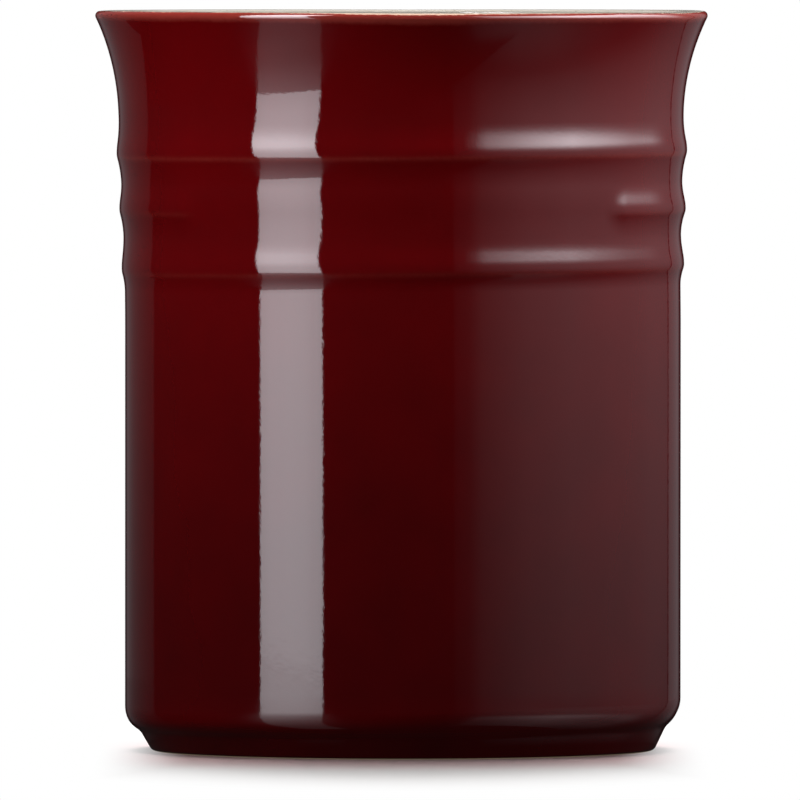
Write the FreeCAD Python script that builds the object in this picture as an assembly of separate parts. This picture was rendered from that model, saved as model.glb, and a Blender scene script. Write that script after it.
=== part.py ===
import FreeCAD, Part
import math
import os
from dataclasses import dataclass

# A glazed stoneware utensil crock in millimetres. The origin is the centre of the standing face,
# +Z is up and the front faces -Y. The clay is one casting: a straight wall with three low ridges
# below a flared rim, on a drawn-in foot ring. The fired coats of glaze are solids of their own.
# All outlines lie in the XZ half-plane, with x as the radius from the axis.

# Overall form
HEIGHT = 150.0  # standing face to the crown of the lip
WALL_DIAMETER = 112.4  # across the straight lower wall
WALL_THICKNESS = 5.7  # of that wall, coats included
FLOOR_THICKNESS = 6.5  # coats included
FLOOR_CORNER_RADIUS = 9.0  # between the inside wall and the floor

# Glaze coats
GLAZE_THICKNESS = 0.5
LIP_GLAZE_BACK = 20.0  # degrees from the crown down the lip's edge to where the two coats meet

# Lip and flare
RIM_OVERHANG = 4.9  # how far the lip's edge stands out past the neck
LIP_WIDTH = 5.4  # across the rounded lip
LIP_EDGE_RADIUS = 1.0  # of both rounded edges
LIP_CROWN_RISE = 0.35  # how far the domed crown stands above the rounded edges
FLARE_HEIGHT = 22.2  # from the neck up to the crown, outside
INNER_FLARE_HEIGHT = 32.0  # the same inside

# Ridges, from the neck down
RIDGE_RISES = (0.49, 0.56, 0.38)  # each crest above the band over it
BAND_DROPS = (0.41, 0.34, 0.25)  # each band below a ridge under the band over it
RIDGE_SWELL = 5.5  # height of the slope above a crest
RIDGE_STEP = 5.4  # height of the slope below a crest
BAND_LAND = 0.6  # straight part of the band between two ridges
MIDDLE_RIDGE = 1  # the ridge that stops short of the front, counted from the highest
MIDDLE_RIDGE_GAP = 98.0  # degrees of it left out across the front

# Foot
SHOULDER_RADIUS = 5.5  # the wall's lower edge
COVE_RADIUS = 4.0  # the hollow between the shoulder and the foot
SHOULDER_SLOPE = 53.0  # degrees from the vertical where the shoulder meets the hollow
FOOT_TAPER = 28.0  # degrees from the vertical of the foot's outer face
FOOT_TAPER_LENGTH = 4.4  # along that face
FOOT_EDGE_RADIUS = 1.4  # outer edge of the standing face
FOOT_GLAZE_ANGLE = 60.0  # below the level, where the outer coat stops on that edge
FOOT_RING_WIDTH = 6.6  # from the taper's corner in to the recess
RECESS_DEPTH = 2.5  # standing face to the underside inside the ring
RECESS_CORNER_RADIUS = 1.2  # between that underside and the ring
RING_EDGE_RADIUS = 0.8  # inner edge of the standing face


@dataclass(frozen=True)
class Bend:
    """One arc of an outline, about a centre at (r, z), from one angle to another in degrees."""

    r: float
    z: float
    radius: float
    start: float
    end: float
    clay_inside: bool  # the clay lies on the side of the centre

    def point(self, angle):
        """Return the point of the arc's circle at an angle."""
        turn = math.radians(angle)
        return FreeCAD.Vector(self.r + self.radius * math.cos(turn), 0, self.z + self.radius * math.sin(turn))

    def sunk(self, depth):
        """Return the arc that lies a depth below this one in the clay."""
        radius = self.radius - depth if self.clay_inside else self.radius + depth
        return Bend(self.r, self.z, radius, self.start, self.end, self.clay_inside)

    def edge(self):
        """Return the arc as an edge."""
        middle = (self.start + self.end) / 2
        return Part.Arc(self.point(self.start), self.point(middle), self.point(self.end)).toShape()


def slope(low_r, low_z, high_r, high_z):
    """Return two equal tangent arcs from one upright run to another at a different radius."""
    height = high_z - low_z
    radius = ((high_r - low_r) ** 2 + height**2) / (4 * abs(high_r - low_r))
    turn = math.degrees(math.asin(height / (2 * radius)))
    if high_r > low_r:
        return [
            Bend(low_r + radius, low_z, radius, 180, 180 - turn, False),
            Bend(high_r - radius, high_z, radius, -turn, 0, True),
        ]
    return [
        Bend(low_r - radius, low_z, radius, 0, turn, True),
        Bend(high_r + radius, high_z, radius, 180 + turn, 180, False),
    ]


# Worked out from the sizes above
WALL_RADIUS = WALL_DIAMETER / 2
BORE_RADIUS = WALL_RADIUS - WALL_THICKNESS
FLOOR_HEIGHT = RECESS_DEPTH + FLOOR_THICKNESS
NECK_RADIUS = WALL_RADIUS + sum(BAND_DROPS)
RIM_RADIUS = NECK_RADIUS + RIM_OVERHANG
NECK_HEIGHT = HEIGHT - FLARE_HEIGHT
TAPER_SIN = math.sin(math.radians(FOOT_TAPER))
TAPER_COS = math.cos(math.radians(FOOT_TAPER))
SLOPE_SIN = math.sin(math.radians(SHOULDER_SLOPE))
SLOPE_COS = math.cos(math.radians(SHOULDER_SLOPE))
FOOT_INSET = (
    FOOT_TAPER_LENGTH * TAPER_SIN + COVE_RADIUS * (TAPER_COS - SLOPE_COS) + SHOULDER_RADIUS * (1 - SLOPE_COS)
)
FOOT_RADIUS = WALL_RADIUS - FOOT_INSET  # where the taper would meet the ground
RECESS_RADIUS = FOOT_RADIUS - FOOT_RING_WIDTH
LIP_EDGE_Z = HEIGHT - LIP_CROWN_RISE - LIP_EDGE_RADIUS
LIP_EDGE_R = RIM_RADIUS - LIP_EDGE_RADIUS
CROWN_R = RIM_RADIUS - LIP_WIDTH / 2
CROWN_HALF = LIP_EDGE_R - CROWN_R
CROWN_RADIUS = LIP_EDGE_RADIUS + (CROWN_HALF**2 + LIP_CROWN_RISE**2) / (2 * LIP_CROWN_RISE)
CROWN_TURN = math.degrees(math.atan2(LIP_EDGE_Z - HEIGHT + CROWN_RADIUS, CROWN_HALF))
LIP_GLAZE_ANGLE = CROWN_TURN - LIP_GLAZE_BACK
END_COAT = math.degrees(GLAZE_THICKNESS / WALL_RADIUS)  # what a coat's thickness takes up on the wall


def foot_edge(start, end):
    """Return part of the rounded outer edge of the standing face."""
    back = FOOT_EDGE_RADIUS * math.tan(math.radians(45 - FOOT_TAPER / 2))
    return Bend(FOOT_RADIUS - back, FOOT_EDGE_RADIUS, FOOT_EDGE_RADIUS, start, end, True)


def foot_side():
    """Return the hollow and the shoulder that lead from the foot's taper up to the wall."""
    cove_r = FOOT_RADIUS + FOOT_TAPER_LENGTH * TAPER_SIN + COVE_RADIUS * TAPER_COS
    cove_z = FOOT_TAPER_LENGTH * TAPER_COS - COVE_RADIUS * TAPER_SIN
    both = COVE_RADIUS + SHOULDER_RADIUS
    shoulder_r = cove_r - both * SLOPE_COS
    shoulder_z = cove_z + both * SLOPE_SIN
    return [
        Bend(cove_r, cove_z, COVE_RADIUS, 180 - FOOT_TAPER, 180 - SHOULDER_SLOPE, False),
        Bend(shoulder_r, shoulder_z, SHOULDER_RADIUS, -SHOULDER_SLOPE, 0, True),
    ]


def ridges(middle_ridge):
    """Return the wall's ridges from the lowest up, with or without the middle one."""
    bends = []
    band_r = NECK_RADIUS
    band_z = NECK_HEIGHT
    for number, (rise, drop) in enumerate(zip(RIDGE_RISES, BAND_DROPS)):
        crest_z = band_z - RIDGE_SWELL
        foot_r = band_r - drop
        foot_z = crest_z - RIDGE_STEP
        if number == MIDDLE_RIDGE and not middle_ridge:
            bends = slope(foot_r, foot_z, band_r, band_z) + bends
        else:
            crest_r = band_r + rise
            below = slope(foot_r, foot_z, crest_r, crest_z)
            above = slope(crest_r, crest_z, band_r, band_z)
            bends = below + above + bends
        band_r = foot_r
        band_z = foot_z - BAND_LAND
    return bends


def flare():
    """Return the arc from the upright neck to the rounded edge of the lip."""
    out = LIP_EDGE_R - NECK_RADIUS
    up = LIP_EDGE_Z - NECK_HEIGHT
    radius = (out**2 + up**2 - LIP_EDGE_RADIUS**2) / (2 * (out + LIP_EDGE_RADIUS))
    end = math.degrees(math.atan2(up, out - radius))
    return Bend(NECK_RADIUS + radius, NECK_HEIGHT, radius, 180, end, False)


def inner_flare():
    """Return the arc from the rounded inner edge of the lip down to the upright bore."""
    low_z = HEIGHT - INNER_FLARE_HEIGHT
    edge_r = CROWN_R - CROWN_HALF
    out = edge_r - BORE_RADIUS
    up = LIP_EDGE_Z - low_z
    radius = (out**2 + up**2 - LIP_EDGE_RADIUS**2) / (2 * (out - LIP_EDGE_RADIUS))
    start = math.degrees(math.atan2(up, out - radius))
    return Bend(BORE_RADIUS + radius, low_z, radius, start, 180, True)


def outer_coat_line(middle_ridge):
    """Return the arcs under the outer coat, from the foot's edge up to the lip's edge."""
    sweep = flare()
    lip = Bend(LIP_EDGE_R, LIP_EDGE_Z, LIP_EDGE_RADIUS, sweep.end - 180, LIP_GLAZE_ANGLE, True)
    foot = foot_edge(-FOOT_GLAZE_ANGLE, -FOOT_TAPER)
    return [foot] + foot_side() + ridges(middle_ridge) + [sweep, lip]


def inner_coat_line():
    """Return the arcs under the inner coat, from the lip's edge over the crown down to the floor."""
    sweep = inner_flare()
    corner_r = BORE_RADIUS - FLOOR_CORNER_RADIUS
    corner_z = FLOOR_HEIGHT + FLOOR_CORNER_RADIUS
    return [
        Bend(LIP_EDGE_R, LIP_EDGE_Z, LIP_EDGE_RADIUS, LIP_GLAZE_ANGLE, CROWN_TURN, True),
        Bend(CROWN_R, HEIGHT - CROWN_RADIUS, CROWN_RADIUS, CROWN_TURN, 180 - CROWN_TURN, True),
        Bend(CROWN_R - CROWN_HALF, LIP_EDGE_Z, LIP_EDGE_RADIUS, 180 - CROWN_TURN, sweep.start, True),
        sweep,
        Bend(corner_r, corner_z, FLOOR_CORNER_RADIUS, 0, -90, False),
    ]


def recess_coat_line():
    """Return the arc under the recess coat, where the underside turns down into the foot ring."""
    corner_r = RECESS_RADIUS - RECESS_CORNER_RADIUS
    corner_z = RECESS_DEPTH - RECESS_CORNER_RADIUS
    return [Bend(corner_r, corner_z, RECESS_CORNER_RADIUS, 90, 0, False)]


def sunk(bends, depth):
    """Return a line of arcs sunk by a depth into the clay."""
    return [bend.sunk(depth) for bend in bends]


def back(bends):
    """Return a line of arcs run from its other end."""
    return [Bend(b.r, b.z, b.radius, b.end, b.start, b.clay_inside) for b in reversed(bends)]


def section(stops):
    """Return the face inside a closed run of arcs and points, joined by straight lines."""
    edges = []
    ends = []
    for stop in stops:
        if isinstance(stop, Bend):
            ends.append((stop.point(stop.start), stop.point(stop.end)))
            edges.append(stop.edge())
        else:
            ends.append((stop, stop))
    for number, (_, leave) in enumerate(ends):
        reach = ends[(number + 1) % len(ends)][0]
        if leave.distanceToPoint(reach) > Part.Precision.confusion():
            edges.append(Part.LineSegment(leave, reach).toShape())
    return Part.Face(Part.Wire(Part.__sortEdges__(edges)))


def turned(face, start, sweep):
    """Return the solid that a face sweeps about the axis, from an angle through another."""
    axis = FreeCAD.Vector(0, 0, 1)
    origin = FreeCAD.Vector(0, 0, 0)
    placed = face.rotated(origin, axis, start)
    return placed.revolve(origin, axis, sweep)


def joined(sectors):
    """Return the one solid that sectors of the crock make together."""
    whole = sectors[0].fuse(sectors[1:]).removeSplitter()
    return whole.Solids[0]


def stoneware_body():
    """Return the clay: wall, rim, ridges, floor and foot ring, bare only on the foot ring."""
    inner = sunk(inner_coat_line(), GLAZE_THICKNESS)
    recess = recess_coat_line()
    ring_edge = Bend(RECESS_RADIUS + RING_EDGE_RADIUS, RING_EDGE_RADIUS, RING_EDGE_RADIUS, 180, 270, True)
    rest = [
        FreeCAD.Vector(0, 0, FLOOR_HEIGHT - GLAZE_THICKNESS),
        FreeCAD.Vector(0, 0, RECESS_DEPTH + GLAZE_THICKNESS),
        *sunk(recess, GLAZE_THICKNESS),
        recess[-1].point(0),
        ring_edge,
        foot_edge(-90, -FOOT_GLAZE_ANGLE),
    ]
    ridged = section(sunk(outer_coat_line(True), GLAZE_THICKNESS) + inner + rest)
    plain = section(sunk(outer_coat_line(False), GLAZE_THICKNESS) + inner + rest)
    gap = MIDDLE_RIDGE_GAP + 2 * END_COAT
    return joined([turned(plain, -90 - gap / 2, gap), turned(ridged, -90 + gap / 2, 360 - gap)])


def outer_glaze():
    """Return the outer coat, which also covers both ends of the middle ridge."""
    ridged = outer_coat_line(True)
    plain = outer_coat_line(False)
    ridged_coat = section(ridged + back(sunk(ridged, GLAZE_THICKNESS)))
    plain_coat = section(plain + back(sunk(plain, GLAZE_THICKNESS)))
    end_coat = section(ridged + back(sunk(plain, GLAZE_THICKNESS)))
    gap = MIDDLE_RIDGE_GAP
    front = turned(plain_coat, -90 - gap / 2, gap)
    right_end = turned(end_coat, -90 + gap / 2, END_COAT)
    rear = turned(ridged_coat, -90 + gap / 2 + END_COAT, 360 - gap - 2 * END_COAT)
    left_end = turned(end_coat, -90 - gap / 2 - END_COAT, END_COAT)
    return joined([front, right_end, rear, left_end])


def inner_glaze():
    """Return the pale coat over the crown of the lip, the inside wall and the floor."""
    line = inner_coat_line()
    top = FreeCAD.Vector(0, 0, FLOOR_HEIGHT)
    bottom = FreeCAD.Vector(0, 0, FLOOR_HEIGHT - GLAZE_THICKNESS)
    return turned(section(line + [top, bottom] + back(sunk(line, GLAZE_THICKNESS))), 0, 360)


def foot_recess_glaze():
    """Return the coat that seals the underside inside the foot ring."""
    line = recess_coat_line()
    low = FreeCAD.Vector(0, 0, RECESS_DEPTH)
    high = FreeCAD.Vector(0, 0, RECESS_DEPTH + GLAZE_THICKNESS)
    return turned(section([low] + line + back(sunk(line, GLAZE_THICKNESS)) + [high]), 0, 360)


os.makedirs("parts", exist_ok=True)
for build in (stoneware_body, outer_glaze, inner_glaze, foot_recess_glaze):
    solid = build()
    solid.exportStep(f"parts/{build.__name__}.step")
    print(build.__name__, solid.ShapeType, solid.isValid(), round(solid.Volume / 1000, 2), "cm3")
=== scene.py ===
"""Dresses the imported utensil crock: turned clay and glaze meshes, their finishes and a small studio."""

from __future__ import annotations

import logging
import math
from dataclasses import dataclass, field
from enum import Enum

import bmesh
import bpy
import numpy as np
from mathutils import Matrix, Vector


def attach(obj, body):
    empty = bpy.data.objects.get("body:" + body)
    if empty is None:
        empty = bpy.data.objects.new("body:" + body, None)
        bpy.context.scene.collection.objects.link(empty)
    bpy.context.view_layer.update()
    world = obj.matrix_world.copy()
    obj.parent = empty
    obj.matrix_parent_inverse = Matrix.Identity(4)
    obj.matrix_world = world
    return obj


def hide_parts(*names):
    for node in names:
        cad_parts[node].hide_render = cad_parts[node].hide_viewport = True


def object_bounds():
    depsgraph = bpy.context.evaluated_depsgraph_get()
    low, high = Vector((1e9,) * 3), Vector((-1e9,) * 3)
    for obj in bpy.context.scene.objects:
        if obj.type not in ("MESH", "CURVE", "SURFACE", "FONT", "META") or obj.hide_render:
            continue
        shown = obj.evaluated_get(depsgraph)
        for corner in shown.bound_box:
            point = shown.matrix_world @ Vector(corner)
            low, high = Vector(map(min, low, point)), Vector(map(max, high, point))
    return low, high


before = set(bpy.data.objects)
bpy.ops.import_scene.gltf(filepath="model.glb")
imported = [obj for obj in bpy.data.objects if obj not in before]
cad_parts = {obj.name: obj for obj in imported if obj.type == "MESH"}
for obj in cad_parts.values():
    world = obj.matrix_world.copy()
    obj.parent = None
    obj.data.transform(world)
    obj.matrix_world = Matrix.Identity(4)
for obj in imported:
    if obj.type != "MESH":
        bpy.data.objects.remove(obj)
CAD_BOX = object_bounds()

LOG = logging.getLogger("crock")
BODY = "root"  # the body that every piece rides on
INNER_COAT = "inner_coat"
MM = 0.001  # metres in a millimetre
FACET_LENGTH = 0.55  # longest facet of an arc, in millimetres
FACET_TURN = 14.0  # most that one facet of an arc turns, in degrees
RUN_STEP = 3.6  # longest facet of a straight run, in millimetres
RIDGE_STEP = 0.32  # facets on the ridged band, in millimetres
HIDDEN_STRIDE = 3  # facets of a shown side for each one of a hidden side
SHARP_EDGE = 50.0  # degrees between faces from which an edge is shaded as sharp
WELD = 1e-7  # metres within which points on the axis are one
WHITE = "#ffffff"
SOFT_STEP = {"interpolation_type": "SMOOTHSTEP"}
COLOUR_MIX = {"data_type": "RGBA"}  # input 0 is the share, 6 and 7 are the colours, output 2 is the mix
PRODUCT = {"operation": "MULTIPLY"}
SUM = {"operation": "ADD"}
GREATER = {"operation": "MAXIMUM"}
CAPPED_SUM = SUM | {"use_clamp": True}
SCALED_SUM = {"operation": "MULTIPLY_ADD"}
LENGTH = {"operation": "LENGTH"}

Pairs = tuple[tuple[float, float], ...]


def hex_to_linear(colour: str) -> tuple[float, float, float, float]:
    """Turn an sRGB hex colour into linear light.

    Args:
        colour: six hex digits after a hash sign.

    Returns:
        Linear red, green and blue, and an alpha of one.
    """
    channels = [int(colour[i : i + 2], 16) / 255 for i in (1, 3, 5)]
    linear = [c / 12.92 if c <= 0.04045 else ((c + 0.055) / 1.055) ** 2.4 for c in channels]
    return (*linear, 1.0)


def add_node(
    tree: bpy.types.NodeTree, kind: str, settings: dict[str, object] | None = None, **inputs: object
) -> bpy.types.Node:
    """Add a node with its settings and links.

    Args:
        tree: the node tree that takes the node.
        kind: the node's type name.
        settings: the node's own properties.
        inputs: a value or an output socket for each input, by its name with _ for a space, or by
            its number after "in".

    Returns:
        The new node.
    """
    node = tree.nodes.new(kind)
    for name, value in (settings or {}).items():
        setattr(node, name, value)
    for name, value in inputs.items():
        numbered = name.startswith("in") and name[2:].isdigit()
        socket = node.inputs[int(name[2:])] if numbered else node.inputs[name.replace("_", " ")]
        if isinstance(value, bpy.types.NodeSocket):
            tree.links.new(value, socket)
        else:
            socket.default_value = value
    return node


def pattern_scale(size_mm: float) -> float:
    """Return the texture scale at which a pattern is about a size in millimetres across."""
    return 1 / (size_mm * MM)


def along(pairs: Pairs, places: np.ndarray) -> np.ndarray:
    """Read off values between pairs of a place and its value.

    Args:
        pairs: places in rising order, each with its value.
        places: where to read.

    Returns:
        The value at each place, held beyond the first and last pair.
    """
    return np.interp(places, *zip(*pairs))


def smooth(low: float, high: float, value: np.ndarray) -> np.ndarray:
    """Return a smooth step from 0 at low to 1 at high."""
    share = np.clip((value - low) / (high - low), 0, 1)
    return share * share * (3 - 2 * share)


def from_front(angles: np.ndarray) -> np.ndarray:
    """Return angles in radians as degrees from the front, from -180 to 180 and positive to the right."""
    return np.degrees((angles + np.pi) % (2 * np.pi) - np.pi)


def step_curve(
    z: np.ndarray, low: tuple[float, float], high: tuple[float, float], turn: float, flank: float = 0.0
) -> np.ndarray:
    """Draw a double curve between two upright runs of an outline.

    Args:
        z: the heights.
        low: radius and height where the curve leaves the run below.
        high: radius and height where it reaches the run above.
        turn: share of the height, from below, that bends away from the run below.
        flank: share of the height above that which is straight.

    Returns:
        The radius at each height, held at the ends outside the curve.
    """
    share = np.clip((z - low[1]) / (high[1] - low[1]), 0, 1)
    slope = 2 / (1 + flank)
    start = slope * share**2 / (2 * turn)
    end = 1 - slope * (1 - share) ** 2 / (2 * (1 - turn - flank))
    bow = np.select([share < turn, share > turn + flank], [start, end], slope * (share - turn / 2))
    return low[0] + (high[0] - low[0]) * bow


@dataclass(frozen=True)
class Bend:
    """One arc of an outline in the plane of radius r and height z, in millimetres and degrees."""

    r: float
    z: float
    radius: float
    start: float
    end: float

    def points(self) -> np.ndarray:
        """Divide the arc into facets.

        Returns:
            Points along the arc, both ends included, as rows of r and z.
        """
        turn = abs(self.end - self.start)
        facets = math.ceil(max(turn / FACET_TURN, math.radians(turn) * self.radius / FACET_LENGTH))
        angles = np.radians(np.linspace(self.start, self.end, facets + 1))
        r = self.r + self.radius * np.cos(angles)
        z = self.z + self.radius * np.sin(angles)
        return np.column_stack([r, z])


def run(start: np.ndarray, end: np.ndarray) -> np.ndarray:
    """Divide a straight run of an outline into facets.

    Args:
        start: radius and height of its first point.
        end: radius and height of its last point.

    Returns:
        The points strictly between the two.
    """
    facets = math.ceil(np.linalg.norm(end - start) / RUN_STEP)
    return start + (end - start) * np.linspace(0, 1, facets + 1)[1:-1, None]


def sunk(line: np.ndarray, depth: float) -> np.ndarray:
    """Move an outline to its left, seen along its run.

    Args:
        line: rows of radius and height.
        depth: how far it moves, in millimetres.

    Returns:
        The moved rows; a point on the axis stays on it.
    """
    way = np.gradient(line, axis=0)
    way /= np.linalg.norm(way, axis=1, keepdims=True)
    moved = line + depth * np.column_stack([-way[:, 1], way[:, 0]])
    moved[line[:, 0] == 0, 0] = 0
    return moved


@dataclass(frozen=True)
class RidgeEnd:
    """How a ridge that stops short of the front ends, in degrees round the wall."""

    softness: float = 3.2  # it fades over this much to either side of its end
    start: float = 0.9  # share of its full rise just past the end
    growth: float = 22.0  # it reaches its full rise over this much
    nose: float = 2.0  # its end is rounded back by this much from the crest


@dataclass(frozen=True)
class Ridge:
    """One low ridge round the wall, in millimetres and degrees; heights count from its crest."""

    fall: float  # of the crest below the neck
    rise: float  # of the crest from the band above
    swell: float  # height of the upper side
    step: float  # height of the lower side
    drop: float  # how much smaller the radius of the band below is
    crown: float  # share of the upper side, from the crest, that is rounded
    flank: float  # share of it above that which is straight
    hollow: float  # share of the lower side, from below, that is hollow
    skew: float  # share by which it stands out further on the right
    line_fall: float  # of the line below the crest where the coat is thin
    line_and_light_share: float  # how thin the coat is there, which also lifts the shade under the crest as painted light
    gap: float = 0.0  # how far round the front it is missing

    def plain(self, z: np.ndarray) -> np.ndarray:
        """Return the radius of the wall without the ridge, less that of the band above."""
        return step_curve(z, (-self.drop, -self.step), (0, self.swell), turn=0.5)

    def bump(self, z: np.ndarray) -> np.ndarray:
        """Shape the ridge's section.

        Args:
            z: the heights.

        Returns:
            How far the ridge stands out from the plain wall at each height.
        """
        under = step_curve(z, (-self.drop, -self.step), (self.rise, 0), self.hollow)
        over = step_curve(z, (self.rise, 0), (0, self.swell), self.crown, self.flank)
        raised = np.where(z < 0, under, over) - self.plain(z)
        return np.where((z > -self.step) & (z < self.swell), raised, 0)

    def share(self, z: np.ndarray, angles: np.ndarray, ending: RidgeEnd) -> np.ndarray:
        """Work out how much of the ridge there is round the wall.

        Args:
            z: the heights.
            angles: the angles round the axis, from the front.
            ending: how it ends on either side of its gap.

        Returns:
            The share of its full rise at each height and angle.
        """
        whole = np.outer(np.ones_like(z), 1 + self.skew * np.sin(angles) ** 3)
        if not self.gap:
            return whole
        turn = abs(from_front(angles))
        past = turn - self.gap / 2 - ending.nose * (z[:, None] / self.swell) ** 2
        grown = ending.start + (1 - ending.start) * smooth(0, ending.growth, past)
        return whole * grown * smooth(-ending.softness, ending.softness, past)


@dataclass
class CrockForm:
    """The crock's outline, in millimetres: a turned wall with a flared rim, ridges and a foot."""

    height: float
    rim_radius: float
    wall_radius: float = 56.36  # of the straight wall below the ridges
    wall_thickness: float = 5.7  # coats included
    floor_thickness: float = 6.5  # coats included
    floor_corner: float = 9.0  # rounding between the inside wall and the floor
    coat: float = 0.5  # thickness of every glaze
    lip_width: float = 5.4  # across the rounded lip
    lip_edge: float = 0.95  # rounding of both its edges
    crown_rise: float = 0.12  # of the domed crown above those rounded edges
    lip_join_back: float = 3.0  # degrees from the lip's crown out to the edge of the dark coat
    flare_height: float = 22.2  # from the neck up to the crown, outside
    inner_flare_height: float = 32.0  # the same inside
    ridges: tuple[Ridge, ...] = (
        Ridge(
            fall=6.3,
            rise=0.56,
            swell=6.5,
            step=6.9,
            drop=0.41,
            crown=0.30,
            flank=0.05,
            hollow=0.85,
            skew=0.12,
            line_fall=0.8,
            line_and_light_share=0.34,
        ),
        Ridge(
            fall=17.8,
            rise=0.55,
            swell=5.5,
            step=5.8,
            drop=0.34,
            crown=0.27,
            flank=0.22,
            hollow=0.80,
            skew=0.17,
            line_fall=0.75,
            line_and_light_share=0.16,
            gap=98.0,
        ),
        Ridge(
            fall=29.5,
            rise=0.5,
            swell=6.3,
            step=4.6,
            drop=0.19,
            crown=0.27,
            flank=0.25,
            hollow=0.75,
            skew=0.14,
            line_fall=0.95,
            line_and_light_share=0.2,
        ),
    )
    ridge_end: RidgeEnd = RidgeEnd()
    shoulder: float = 6.2  # rounding of the wall's lower edge
    cove: float = 3.1  # rounding of the hollow between the shoulder and the foot
    shoulder_slope: float = 53.0  # degrees from the vertical where the two meet
    foot_taper: float = 28.0  # degrees from the vertical of the foot's outer face
    taper_length: float = 4.4  # along that face
    foot_edge: float = 1.4  # rounding of the standing face's outer edge
    foot_coat_angle: float = 60.0  # degrees below the level where the outer coat stops on that edge
    ring_width: float = 6.6  # from the taper's corner in to the recess
    recess_depth: float = 2.5  # from the standing face up to the underside inside the ring
    recess_corner: float = 1.2  # rounding between that underside and the ring
    ring_edge: float = 0.8  # rounding of the standing face's inner edge
    # how much the wall and its band rise towards the right, as a share of the radius, by height
    leans: Pairs = (
        (1.5, 0),
        (7, 0.0148),
        (90, 0.0134),
        (98.5, 0.0095),
        (104, 0.005),
        (110, 0.002),
        (121.5, 0.008),
        (146, 0),
    )
    # how far to the right the axis strays, by height
    drifts: Pairs = ((0, 0.26), (88, 0.30), (130, -0.08), (150, 0))
    # how far the fired rim lies above its mean height, by degrees from the front
    rim_lifts: Pairs = (
        (-180, -0.12),
        (-90, 0.12),
        (-67, 0.17),
        (-53, 0.18),
        (-37, 0.14),
        (-13, 0.06),
        (0, -0.03),
        (26, -0.06),
        (45, -0.07),
        (67, -0.19),
        (80, -0.04),
        (90, 0.12),
        (180, -0.12),
    )
    edge_dip: float = 0.55  # how much further down the coat's upper edge lies at the front
    edge_dip_turn: float = 3.0  # degrees from the front to the middle of that dip
    edge_dip_half: float = 16.0  # its half width in degrees

    def __post_init__(self) -> None:
        """Work out the sizes that follow from the driving ones."""
        self.neck_radius = self.wall_radius + sum(ridge.drop for ridge in self.ridges)
        self.neck_z = self.height - self.flare_height
        self.band_low = self.crest_z(self.ridges[-1]) - self.ridges[-1].step
        self.bore_radius = self.wall_radius - self.wall_thickness
        self.floor_z = self.recess_depth + self.floor_thickness
        slope = math.radians(self.shoulder_slope)
        taper = math.radians(self.foot_taper)
        inset = self.taper_length * math.sin(taper) + self.cove * (math.cos(taper) - math.cos(slope))
        self.foot_radius = self.wall_radius - inset - self.shoulder * (1 - math.cos(slope))
        self.recess_radius = self.foot_radius - self.ring_width
        self.lip_z = self.height - self.crown_rise - self.lip_edge
        self.lip_r = self.rim_radius - self.lip_edge
        self.crown_r = self.rim_radius - self.lip_width / 2
        self.crown_half = self.lip_r - self.crown_r
        rise = self.crown_rise
        self.crown_bow = self.lip_edge + (self.crown_half**2 + rise**2) / (2 * rise)
        drop = self.lip_z - self.height + self.crown_bow
        self.crown_turn = math.degrees(math.atan2(drop, self.crown_half))
        self.join_angle = self.crown_turn - self.lip_join_back

    def crest_z(self, ridge: Ridge) -> float:
        """Return the height of a ridge's crest."""
        return self.neck_z - ridge.fall

    def lean(self, z: np.ndarray, r: np.ndarray, angles: np.ndarray) -> np.ndarray:
        """Return how much higher the hand-set band and wall lie towards the right."""
        return along(self.leans, z)[:, None] * r * np.sin(angles)

    def drift(self, z: np.ndarray) -> np.ndarray:
        """Return how far to the right the axis strays at each height."""
        return along(self.drifts, z)

    def warped(self, z: np.ndarray, angles: np.ndarray) -> np.ndarray:
        """Return the heights at each angle, with the rim out of true as the fire left it."""
        return z + smooth(self.neck_z, self.height, z) * along(self.rim_lifts, from_front(angles))

    def dip(self, angles: np.ndarray) -> np.ndarray:
        """Return how much further down the dark coat's upper edge lies at each angle."""
        aside = (from_front(angles) - self.edge_dip_turn) / self.edge_dip_half
        return self.edge_dip * np.exp(-(aside**2))

    def foot_bend(self, start: float, end: float) -> Bend:
        """Return part of the rounded outer edge of the standing face."""
        back = self.foot_edge * math.tan(math.radians(45 - self.foot_taper / 2))
        return Bend(self.foot_radius - back, self.foot_edge, self.foot_edge, start, end)

    def foot_side(self) -> tuple[Bend, Bend]:
        """Place the hollow and the shoulder between the foot's taper and the wall.

        Returns:
            The hollow's arc and the shoulder's, from below.
        """
        slope = math.radians(self.shoulder_slope)
        taper = math.radians(self.foot_taper)
        cove_r = self.foot_radius + self.taper_length * math.sin(taper) + self.cove * math.cos(taper)
        cove_z = self.taper_length * math.cos(taper) - self.cove * math.sin(taper)
        both = self.cove + self.shoulder
        cove = Bend(cove_r, cove_z, self.cove, 180 - self.foot_taper, 180 - self.shoulder_slope)
        round_r = cove_r - both * math.cos(slope)
        round_z = cove_z + both * math.sin(slope)
        return cove, Bend(round_r, round_z, self.shoulder, -self.shoulder_slope, 0)

    def flare(self) -> Bend:
        """Fit the outer sweep of the rim.

        Returns:
            The arc from the upright neck to the rounded edge of the lip.
        """
        out = self.lip_r - self.neck_radius
        up = self.lip_z - self.neck_z
        radius = (out**2 + up**2 - self.lip_edge**2) / (2 * (out + self.lip_edge))
        end = math.degrees(math.atan2(up, out - radius))
        return Bend(self.neck_radius + radius, self.neck_z, radius, 180, end)

    def inner_flare(self) -> Bend:
        """Fit the inner sweep of the rim.

        Returns:
            The arc from the lip's inner edge down to the upright bore.
        """
        low_z = self.height - self.inner_flare_height
        out = self.crown_r - self.crown_half - self.bore_radius
        up = self.lip_z - low_z
        radius = (out**2 + up**2 - self.lip_edge**2) / (2 * (out - self.lip_edge))
        start = math.degrees(math.atan2(up, out - radius))
        return Bend(self.bore_radius + radius, low_z, radius, start, 180)

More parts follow.
